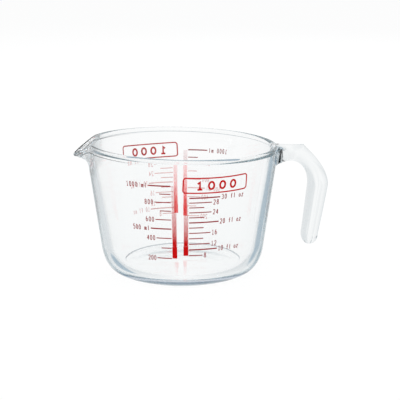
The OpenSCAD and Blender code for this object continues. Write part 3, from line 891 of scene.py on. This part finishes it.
# Lamps: name, place and size in metres, and power in watts
LAMPS = (
    ("front_lamp", (-0.5, -1.5, 1.2), 1.0, 12),
    ("back_lamp", (0.4, 1.5, 1.2), 1.0, 12),
)
LAMP_AIM = Vector((0, 0, 0.05))
# The floor: half its width in metres, its drop below the jug, its colour, and how much of it glows white
FLOOR_HALF_M, FLOOR_DROP_MM = 12, 0.05
FLOOR_COLOUR, FLOOR_GLOW = (0.9, 0.9, 0.9, 1), 0.88


def seen_directly(tree):
    """1 for what the camera, glass and gloss see, and 0 for what only lights the scene."""
    path = add(tree, "ShaderNodeLightPath")
    rays = "Is Camera Ray", "Is Glossy Ray", "Is Transmission Ray"
    return largest(*(Field(path.outputs[ray]) for ray in rays))


def white_floor():
    """A wide white floor that keeps a faint shadow. The glass shows the studio's white instead of it."""
    corners = (-1, -1), (1, -1), (1, 1), (-1, 1)
    mesh = bpy.data.meshes.new("floor")
    mesh.from_pydata(
        [(x * FLOOR_HALF_M, y * FLOOR_HALF_M, -FLOOR_DROP_MM * MM) for x, y in corners],
        [], [range(len(corners))],
    )
    floor = new_object("floor", mesh)
    material, tree, shader = new_material("white_floor")
    shader.inputs["Base Color"].default_value = FLOOR_COLOUR
    shader.inputs["Roughness"].default_value = 1
    shader.inputs["Specular IOR Level"].default_value = 0
    glow = add(tree, "ShaderNodeEmission")
    blend = add(tree, "ShaderNodeMixShader", {
        0: seen_directly(tree) * FLOOR_GLOW, 1: shader.outputs[0], 2: glow.outputs[0],
    })
    tree.links.new(blend.outputs[0], tree.nodes["Material Output"].inputs["Surface"])
    mesh.materials.append(material)
    floor.visible_transmission = False
    floor.visible_glossy = False


def studio_world():
    """Surroundings that are white to the camera, with a dim band, dim sides and cards for the glass."""
    world = bpy.data.worlds.new("studio")
    bpy.context.scene.world = world
    world.use_nodes = True
    tree = world.node_tree
    path = add(tree, "ShaderNodeLightPath")
    way = add(tree, "ShaderNodeTexCoord").outputs["Generated"]
    x, _, z = (Field(socket) for socket in add(tree, "ShaderNodeSeparateXYZ", {0: way}).outputs)
    throws = Field(path.outputs["Glossy Depth"])
    one_wall = 1 - past_near_wall(path)
    sideways = work("ABSOLUTE", x) * one_wall
    thrown = work("MAXIMUM", throws - 1, 0) * (sideways + LEAST_SIDE)
    for card_a, card_rise in CARDS:
        card = Vector((math.sin(card_a), math.cos(card_a), math.tan(card_rise))).normalized()
        facing = add(tree, "ShaderNodeVectorMath", {0: way, 1: card}, operation="DOT_PRODUCT")
        on_card = clamped((Field(facing.outputs["Value"]) - CARD_EDGE) / (CARD_CORE - CARD_EDGE))
        thrown = thrown + work("MINIMUM", throws, 1) * on_card * CARD_DEPTH

    in_band = clamped((-BAND_START - x) / BAND_FADE) * work("LESS_THAN", throws, 1 / 2)
    seen = tinted(tree, in_band, WHITE, colour_ramp(tree, (z + 1) / 2, STUDIO_TONES))
    for share, tones in ((sideways, ROOM_TONES), (thrown * one_wall / MOST_THROWN, SIDE_TONES)):
        seen = tinted(tree, 1.0, seen, colour_ramp(tree, share, tones), "MULTIPLY")
    shown = tinted(tree, path.outputs["Is Camera Ray"], seen, WHITE)
    tree.links.new(shown, tree.nodes["Background"].inputs["Color"])


def soft_lamps():
    """Wide lamps from above, which the glass and the gloss don't show."""
    for name, place, size, power in LAMPS:
        data = bpy.data.lights.new(name, "AREA")
        data.size = size
        data.energy = power
        lamp = new_object(name, data)
        lamp.location = place
        lamp.rotation_euler = (LAMP_AIM - lamp.location).to_track_quat("-Z", "Y").to_euler()
        lamp.visible_glossy = False
        lamp.visible_transmission = False


photo_camera()
white_floor()
studio_world()
soft_lamps()

glass = glass_piece(clear_glass())
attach(glass, "root")
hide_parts("jug_body", "handle")

bright_enamel = fired_enamel("bright_enamel", BRIGHT_TONES, BRIGHT_LIT_AFAR)
deep_enamel = fired_enamel("deep_enamel", DEEP_TONES, DEEP_LIT_AFAR)
column_tree = halftone_tree(bright_enamel)
for name, node in nodes.items():
    if name in ("jug_body", "handle"):
        continue
    if name.endswith("_column"):
        halftone = made_piece(name.replace("column", "halftone"), column_tree, column_sizes(node))
        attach(halftone, "root")
        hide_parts(name)
    else:
        node.data.materials.clear()
        node.data.materials.append(bright_enamel if "mark" in name else deep_enamel)

bpy.context.scene.view_settings.view_transform = "Standard"
# Light goes to and fro many times in the thick base before it leaves
MOST_BOUNCES = 100
bpy.context.scene.cycles.max_bounces = MOST_BOUNCES
bpy.context.scene.cycles.transmission_bounces = MOST_BOUNCES
bpy.context.scene.cycles.glossy_bounces = MOST_BOUNCES
